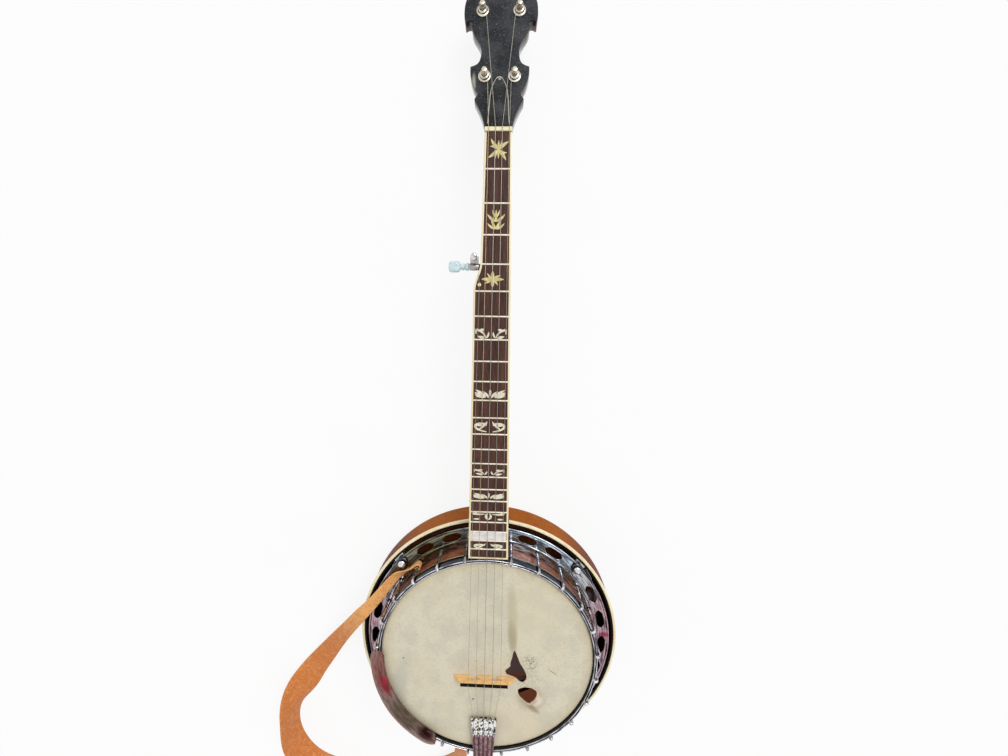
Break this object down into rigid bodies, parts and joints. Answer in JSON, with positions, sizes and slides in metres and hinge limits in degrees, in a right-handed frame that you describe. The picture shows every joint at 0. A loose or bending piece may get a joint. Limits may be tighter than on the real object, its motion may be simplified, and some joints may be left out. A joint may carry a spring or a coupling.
{
  "type": "five-string resonator banjo",
  "caption": "Resonator banjo with a fretted neck, geared tuners, a metal flange, a torn head, a bridge, a tailpiece and a suede strap, lying on its back.",
  "frame": {"origin": "centre of the flat back of the resonator, on the surface that the banjo lies on", "axes": "+Y along the neck toward the peghead, +Z out of the head, +X to the side away from the fifth peg"},
  "size_m": [0.498, 1.1178, 0.1215],
  "materials": {
    "chrome": "bright polished nickel and chrome plate",
    "brass": "plain cast bronze",
    "steel": "plain steel",
    "rim_wood": "glossy red-brown lacquered maple",
    "sunburst": "glossy amber to brown sunburst",
    "neck_wood": "glossy dark red-brown stain",
    "rosewood": "oiled dark rosewood",
    "ivoroid": "aged cream plastic",
    "bone": "polished bone",
    "skin": "aged cream banjo head",
    "maple": "bare maple",
    "ebony": "black ebony",
    "black_lacquer": "black lacquered veneer",
    "pearl": "pale pearl plastic",
    "suede": "orange-brown suede"
  },
  "bodies": {
    "instrument": {"rim": "rim_wood", "tone_ring": "brass", "head": "skin", "tension_hoop": "chrome", "flange": "chrome", "resonator_wall": "sunburst", "resonator_back": "sunburst", "resonator_binding": "ivoroid", "coordinator_rod_upper": "steel", "coordinator_rod_lower": "steel", "tailpiece_bracket": "steel", "tailpiece_plate": "chrome", "armrest": "chrome", "armrest_clamp": "chrome", "bridge": "maple", "bridge_cap": "ebony", "neck": "neck_wood", "fretboard": "rosewood", "fretboard_binding": "ivoroid", "nut": "bone", "fifth_string_nut": "bone", "truss_rod": "steel", "truss_rod_cover": "black_lacquer", "peghead_overlay": "black_lacquer", "fifth_peg_housing": "steel", "strap": "suede", "resonator_lug_1": "steel", "tuner_housing_1": "chrome", "resonator_lug_2": "steel", "tuner_housing_2": "chrome", "resonator_lug_3": "steel", "tuner_housing_3": "chrome", "resonator_lug_4": "steel", "tuner_housing_4": "chrome", "capo_spike_1": "steel", "capo_spike_2": "steel", "capo_spike_3": "steel", "string_1": "steel", "string_2": "steel", "string_3": "steel", "string_4": "steel", "string_5": "steel"},
    "tuner_post_1_body": {"tuner_post_1": "chrome"},
    "tuner_post_2_body": {"tuner_post_2": "chrome"},
    "tuner_post_3_body": {"tuner_post_3": "chrome"},
    "tuner_post_4_body": {"tuner_post_4": "chrome"},
    "tuner_button_1_body": {"tuner_button_1": "ivoroid"},
    "tuner_button_2_body": {"tuner_button_2": "ivoroid"},
    "tuner_button_3_body": {"tuner_button_3": "ivoroid"},
    "tuner_button_4_body": {"tuner_button_4": "ivoroid"},
    "fifth_peg_post_body": {"fifth_peg_post": "steel"},
    "fifth_peg_button_body": {"fifth_peg_button": "pearl"},
    "resonator_thumbscrew_1_body": {"resonator_thumbscrew_1": "chrome"},
    "resonator_thumbscrew_2_body": {"resonator_thumbscrew_2": "chrome"},
    "resonator_thumbscrew_3_body": {"resonator_thumbscrew_3": "chrome"},
    "resonator_thumbscrew_4_body": {"resonator_thumbscrew_4": "chrome"},
    "tailpiece_adjusting_screw_body": {"tailpiece_adjusting_screw": "chrome"}
  },
  "joints": [
    {"name": "tuner_1_button_turn", "type": "hinge", "parent": "instrument", "child": "tuner_button_1_body", "pos_m": [-0.0148, 0.69854, 0.06617], "axis": [0, 0.2419, 0.9703], "continuous": true},
    {"name": "tuner_1_post_turn", "type": "hinge", "parent": "instrument", "child": "tuner_post_1_body", "pos_m": [-0.0148, 0.69854, 0.06617], "axis": [0, 0.2419, 0.9703], "continuous": true},
    {"name": "tuner_2_button_turn", "type": "hinge", "parent": "instrument", "child": "tuner_button_2_body", "pos_m": [-0.0186, 0.76996, 0.04836], "axis": [0, 0.2419, 0.9703], "continuous": true},
    {"name": "tuner_2_post_turn", "type": "hinge", "parent": "instrument", "child": "tuner_post_2_body", "pos_m": [-0.0186, 0.76996, 0.04836], "axis": [0, 0.2419, 0.9703], "continuous": true},
    {"name": "tuner_3_button_turn", "type": "hinge", "parent": "instrument", "child": "tuner_button_3_body", "pos_m": [0.0218, 0.76996, 0.04836], "axis": [0, 0.2419, 0.9703], "continuous": true},
    {"name": "tuner_3_post_turn", "type": "hinge", "parent": "instrument", "child": "tuner_post_3_body", "pos_m": [0.0218, 0.76996, 0.04836], "axis": [0, 0.2419, 0.9703], "continuous": true},
    {"name": "tuner_4_button_turn", "type": "hinge", "parent": "instrument", "child": "tuner_button_4_body", "pos_m": [0.018, 0.69854, 0.06617], "axis": [0, 0.2419, 0.9703], "continuous": true},
    {"name": "tuner_4_post_turn", "type": "hinge", "parent": "instrument", "child": "tuner_post_4_body", "pos_m": [0.018, 0.69854, 0.06617], "axis": [0, 0.2419, 0.9703], "continuous": true},
    {"name": "fifth_peg_button_turn", "type": "hinge", "parent": "instrument", "child": "fifth_peg_button_body", "pos_m": [-0.029, 0.49798, 0.08131], "axis": [1, 0, 0], "continuous": true},
    {"name": "fifth_peg_post_turn", "type": "hinge", "parent": "instrument", "child": "fifth_peg_post_body", "pos_m": [-0.0226, 0.50798, 0.07961], "axis": [0, 0, 1], "continuous": true},
    {"name": "resonator_thumbscrew_1_turn", "type": "hinge", "parent": "instrument", "child": "resonator_thumbscrew_1_body", "pos_m": [0.11804, 0.11241, 0.0623], "axis": [0, 0, 1], "continuous": true},
    {"name": "resonator_thumbscrew_2_turn", "type": "hinge", "parent": "instrument", "child": "resonator_thumbscrew_2_body", "pos_m": [0.11804, -0.11241, 0.0623], "axis": [0, 0, 1], "continuous": true},
    {"name": "resonator_thumbscrew_3_turn", "type": "hinge", "parent": "instrument", "child": "resonator_thumbscrew_3_body", "pos_m": [-0.11804, -0.11241, 0.0623], "axis": [0, 0, 1], "continuous": true},
    {"name": "resonator_thumbscrew_4_turn", "type": "hinge", "parent": "instrument", "child": "resonator_thumbscrew_4_body", "pos_m": [-0.11804, 0.11241, 0.0623], "axis": [0, 0, 1], "continuous": true},
    {"name": "tailpiece_screw_turn", "type": "hinge", "parent": "instrument", "child": "tailpiece_adjusting_screw_body", "pos_m": [0, -0.1537, 0.1157], "axis": [0, 0, 1], "continuous": true}
  ],
  "couplings": [
    {"joint": "tuner_1_post_turn", "follows": "tuner_1_button_turn", "ratio": 0.25},
    {"joint": "tuner_2_post_turn", "follows": "tuner_2_button_turn", "ratio": 0.25},
    {"joint": "tuner_3_post_turn", "follows": "tuner_3_button_turn", "ratio": 0.25},
    {"joint": "tuner_4_post_turn", "follows": "tuner_4_button_turn", "ratio": 0.25},
    {"joint": "fifth_peg_post_turn", "follows": "fifth_peg_button_turn", "ratio": 0.071429}
  ]
}
